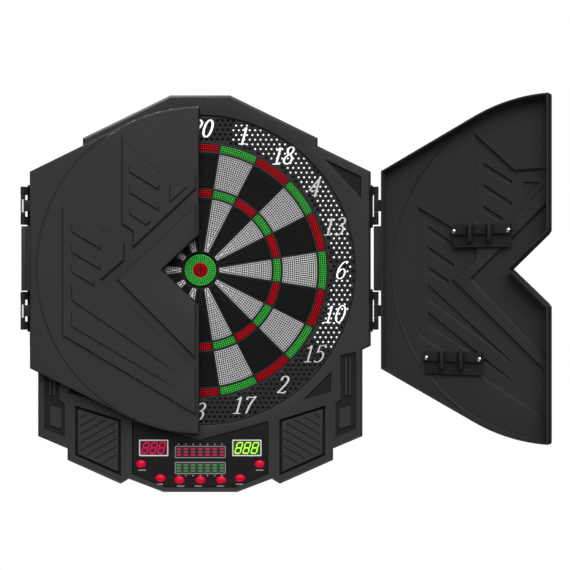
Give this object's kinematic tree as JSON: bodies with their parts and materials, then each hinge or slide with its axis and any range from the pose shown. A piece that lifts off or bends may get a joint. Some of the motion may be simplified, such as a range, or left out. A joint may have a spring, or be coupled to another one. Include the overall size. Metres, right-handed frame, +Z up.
{
  "type": "electronic dartboard",
  "caption": "Wall-hung electronic dartboard in a faceted cabinet with two hinged notched doors, a scoring face of sliding segments, displays and push buttons.",
  "frame": {"origin": "centre of the back plane, straight behind the middle of the bull", "axes": "+Y into the wall, -Y towards the player, +X to the right as the player sees it, +Z up"},
  "size_m": [0.7937, 0.2016, 0.6182],
  "materials": {
    "cabinet_plastic": "fine satin moulded texture",
    "door_plastic": "fine satin moulded texture",
    "black_plastic": "satin",
    "light_segment": "satin, grid of dart holes",
    "dark_segment": "satin, grid of dart holes",
    "segment_green": "satin, grid of dart holes",
    "segment_red": "satin, grid of dart holes",
    "button_red": "smooth translucent-looking silicone",
    "rubber_mat": "matt",
    "circuit_board": "solder mask",
    "red_display": "tinted lens",
    "green_display": "tinted lens",
    "speaker_black": "paper cone",
    "hinge_steel": "bright"
  },
  "bodies": {
    "cabinet": {"backing_plate": "cabinet_plastic", "catch_ring": "black_plastic", "control_panel": "black_plastic", "display_circuit_board": "circuit_board", "front_frame": "cabinet_plastic", "left_lower_hinge_bracket": "black_plastic", "left_lower_hinge_pin": "hinge_steel", "left_score_window": "red_display", "left_speaker_grille": "cabinet_plastic", "left_upper_hinge_bracket": "black_plastic", "left_upper_hinge_pin": "hinge_steel", "lower_marks_window": "green_display", "main_circuit_board": "circuit_board", "power_socket": "black_plastic", "rear_cover": "cabinet_plastic", "right_lower_hinge_bracket": "black_plastic", "right_lower_hinge_pin": "hinge_steel", "right_score_window": "green_display", "right_speaker_grille": "cabinet_plastic", "right_upper_hinge_bracket": "black_plastic", "right_upper_hinge_pin": "hinge_steel", "segment_spider": "black_plastic", "speaker": "speaker_black", "switch_mat": "rubber_mat", "upper_marks_window": "red_display"},
    "left_door": {"left_door": "door_plastic", "left_lower_dart_holder": "black_plastic", "left_upper_dart_holder": "black_plastic"},
    "right_door": {"right_door": "door_plastic", "right_lower_dart_holder": "black_plastic", "right_upper_dart_holder": "black_plastic"},
    "button_1": {"button_1": "button_red"},
    "button_2": {"button_2": "button_red"},
    "button_3": {"button_3": "button_red"},
    "button_4": {"button_4": "button_red"},
    "button_5": {"button_5": "button_red"},
    "button_6": {"button_6": "button_red"},
    "button_7": {"button_7": "button_red"},
    "inner_bull": {"inner_bull": "segment_red"},
    "number_wedge_1": {"number_wedge_1": "light_segment"},
    "number_wedge_10": {"number_wedge_10": "dark_segment"},
    "number_wedge_11": {"number_wedge_11": "light_segment"},
    "number_wedge_12": {"number_wedge_12": "dark_segment"},
    "number_wedge_13": {"number_wedge_13": "dark_segment"},
    "number_wedge_14": {"number_wedge_14": "dark_segment"},
    "number_wedge_15": {"number_wedge_15": "light_segment"},
    "number_wedge_16": {"number_wedge_16": "light_segment"},
    "number_wedge_17": {"number_wedge_17": "light_segment"},
    "number_wedge_18": {"number_wedge_18": "dark_segment"},
    "number_wedge_19": {"number_wedge_19": "light_segment"},
    "number_wedge_2": {"number_wedge_2": "dark_segment"},
    "number_wedge_20": {"number_wedge_20": "dark_segment"},
    "number_wedge_3": {"number_wedge_3": "dark_segment"},
    "number_wedge_4": {"number_wedge_4": "light_segment"},
    "number_wedge_5": {"number_wedge_5": "light_segment"},
    "number_wedge_6": {"number_wedge_6": "light_segment"},
    "number_wedge_7": {"number_wedge_7": "dark_segment"},
    "number_wedge_8": {"number_wedge_8": "dark_segment"},
    "number_wedge_9": {"number_wedge_9": "light_segment"},
    "outer_bull": {"outer_bull": "segment_green"}
  },
  "joints": [
    {"name": "left_door_hinge", "type": "hinge", "parent": "cabinet", "child": "left_door", "pos_m": [-0.273, -0.0609, 0], "axis": [0, 0, -1], "range_deg": [0, 180]},
    {"name": "right_door_hinge", "type": "hinge", "parent": "cabinet", "child": "right_door", "pos_m": [0.273, -0.0609, 0], "axis": [0, 0, 1], "range_deg": [-151, 29]},
    {"name": "button_1_press", "type": "slide", "parent": "cabinet", "child": "button_1", "axis": [0, 1, 0], "range_m": [0, 0.002], "stiffness_N_per_m": 400},
    {"name": "button_2_press", "type": "slide", "parent": "cabinet", "child": "button_2", "axis": [0, 1, 0], "range_m": [0, 0.002], "stiffness_N_per_m": 400},
    {"name": "button_3_press", "type": "slide", "parent": "cabinet", "child": "button_3", "axis": [0, 1, 0], "range_m": [0, 0.002], "stiffness_N_per_m": 400},
    {"name": "button_4_press", "type": "slide", "parent": "cabinet", "child": "button_4", "axis": [0, 1, 0], "range_m": [0, 0.002], "stiffness_N_per_m": 400},
    {"name": "button_5_press", "type": "slide", "parent": "cabinet", "child": "button_5", "axis": [0, 1, 0], "range_m": [0, 0.002], "stiffness_N_per_m": 400},
    {"name": "button_6_press", "type": "slide", "parent": "cabinet", "child": "button_6", "axis": [0, 1, 0], "range_m": [0, 0.002], "stiffness_N_per_m": 400},
    {"name": "button_7_press", "type": "slide", "parent": "cabinet", "child": "button_7", "axis": [0, 1, 0], "range_m": [0, 0.002], "stiffness_N_per_m": 400},
    {"name": "outer_bull_press", "type": "slide", "parent": "cabinet", "child": "outer_bull", "axis": [0, 1, 0], "range_m": [0, 0.0015], "stiffness_N_per_m": 500},
    {"name": "inner_bull_press", "type": "slide", "parent": "cabinet", "child": "inner_bull", "axis": [0, 1, 0], "range_m": [0, 0.0015], "stiffness_N_per_m": 500},
    {"name": "number_wedge_20_press", "type": "slide", "parent": "cabinet", "child": "number_wedge_20", "axis": [0, 1, 0], "range_m": [0, 0.0015], "stiffness_N_per_m": 500},
    {"name": "number_wedge_1_press", "type": "slide", "parent": "cabinet", "child": "number_wedge_1", "axis": [0, 1, 0], "range_m": [0, 0.0015], "stiffness_N_per_m": 500},
    {"name": "number_wedge_18_press", "type": "slide", "parent": "cabinet", "child": "number_wedge_18", "axis": [0, 1, 0], "range_m": [0, 0.0015], "stiffness_N_per_m": 500},
    {"name": "number_wedge_4_press", "type": "slide", "parent": "cabinet", "child": "number_wedge_4", "axis": [0, 1, 0], "range_m": [0, 0.0015], "stiffness_N_per_m": 500},
    {"name": "number_wedge_13_press", "type": "slide", "parent": "cabinet", "child": "number_wedge_13", "axis": [0, 1, 0], "range_m": [0, 0.0015], "stiffness_N_per_m": 500},
    {"name": "number_wedge_6_press", "type": "slide", "parent": "cabinet", "child": "number_wedge_6", "axis": [0, 1, 0], "range_m": [0, 0.0015], "stiffness_N_per_m": 500},
    {"name": "number_wedge_10_press", "type": "slide", "parent": "cabinet", "child": "number_wedge_10", "axis": [0, 1, 0], "range_m": [0, 0.0015], "stiffness_N_per_m": 500},
    {"name": "number_wedge_15_press", "type": "slide", "parent": "cabinet", "child": "number_wedge_15", "axis": [0, 1, 0], "range_m": [0, 0.0015], "stiffness_N_per_m": 500},
    {"name": "number_wedge_2_press", "type": "slide", "parent": "cabinet", "child": "number_wedge_2", "axis": [0, 1, 0], "range_m": [0, 0.0015], "stiffness_N_per_m": 500},
    {"name": "number_wedge_17_press", "type": "slide", "parent": "cabinet", "child": "number_wedge_17", "axis": [0, 1, 0], "range_m": [0, 0.0015], "stiffness_N_per_m": 500},
    {"name": "number_wedge_3_press", "type": "slide", "parent": "cabinet", "child": "number_wedge_3", "axis": [0, 1, 0], "range_m": [0, 0.0015], "stiffness_N_per_m": 500},
    {"name": "number_wedge_19_press", "type": "slide", "parent": "cabinet", "child": "number_wedge_19", "axis": [0, 1, 0], "range_m": [0, 0.0015], "stiffness_N_per_m": 500},
    {"name": "number_wedge_7_press", "type": "slide", "parent": "cabinet", "child": "number_wedge_7", "axis": [0, 1, 0], "range_m": [0, 0.0015], "stiffness_N_per_m": 500},
    {"name": "number_wedge_16_press", "type": "slide", "parent": "cabinet", "child": "number_wedge_16", "axis": [0, 1, 0], "range_m": [0, 0.0015], "stiffness_N_per_m": 500},
    {"name": "number_wedge_8_press", "type": "slide", "parent": "cabinet", "child": "number_wedge_8", "axis": [0, 1, 0], "range_m": [0, 0.0015], "stiffness_N_per_m": 500},
    {"name": "number_wedge_11_press", "type": "slide", "parent": "cabinet", "child": "number_wedge_11", "axis": [0, 1, 0], "range_m": [0, 0.0015], "stiffness_N_per_m": 500},
    {"name": "number_wedge_14_press", "type": "slide", "parent": "cabinet", "child": "number_wedge_14", "axis": [0, 1, 0], "range_m": [0, 0.0015], "stiffness_N_per_m": 500},
    {"name": "number_wedge_9_press", "type": "slide", "parent": "cabinet", "child": "number_wedge_9", "axis": [0, 1, 0], "range_m": [0, 0.0015], "stiffness_N_per_m": 500},
    {"name": "number_wedge_12_press", "type": "slide", "parent": "cabinet", "child": "number_wedge_12", "axis": [0, 1, 0], "range_m": [0, 0.0015], "stiffness_N_per_m": 500},
    {"name": "number_wedge_5_press", "type": "slide", "parent": "cabinet", "child": "number_wedge_5", "axis": [0, 1, 0], "range_m": [0, 0.0015], "stiffness_N_per_m": 500}
  ]
}
